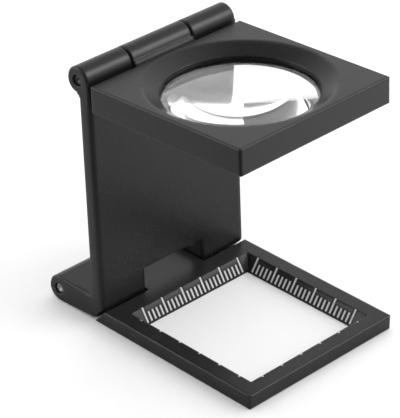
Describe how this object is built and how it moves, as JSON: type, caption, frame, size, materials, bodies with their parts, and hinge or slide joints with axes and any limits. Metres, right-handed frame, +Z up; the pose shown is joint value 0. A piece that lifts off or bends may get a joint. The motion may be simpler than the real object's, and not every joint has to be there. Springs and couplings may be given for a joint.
{
  "type": "folding loupe",
  "caption": "Folding stand magnifier for counting threads: a graduated square base, an upright and a dished lens holder, hinged to fold flat behind the upright.",
  "frame": {"origin": "centre of the footprint on the table, under the open loupe", "axes": "+Z up, +Y from the open front edge of the base to the hinges, +X across the width"},
  "size_m": [0.0376, 0.0524, 0.0514],
  "materials": {
    "black_paint": "satin black paint",
    "white_paint": "matt white infill paint",
    "bright_steel": "bare turned steel",
    "dark_steel": "blackened steel",
    "lens_glass": "polished clear glass",
    "black_wire": "black spring wire"
  },
  "bodies": {
    "base": {"base_frame": "black_paint", "scale_rear": "white_paint", "scale_left": "white_paint", "scale_front": "white_paint", "scale_right": "white_paint"},
    "upright": {"upright": "black_paint", "base_pin": "bright_steel", "top_pin": "dark_steel"},
    "lens_holder": {"lens_holder": "black_paint", "lens": "lens_glass", "lens_ring": "black_wire"}
  },
  "joints": [
    {"name": "base_fold", "type": "hinge", "parent": "base", "child": "upright", "pos_m": [0, 0.0236, 0.0026], "axis": [-1, 0, 0], "range_deg": [0, 266.7]},
    {"name": "lens_fold", "type": "hinge", "parent": "upright", "child": "lens_holder", "pos_m": [0, 0.01735, 0.04884], "axis": [-1, 0, 0], "range_deg": [0, 270]}
  ]
}
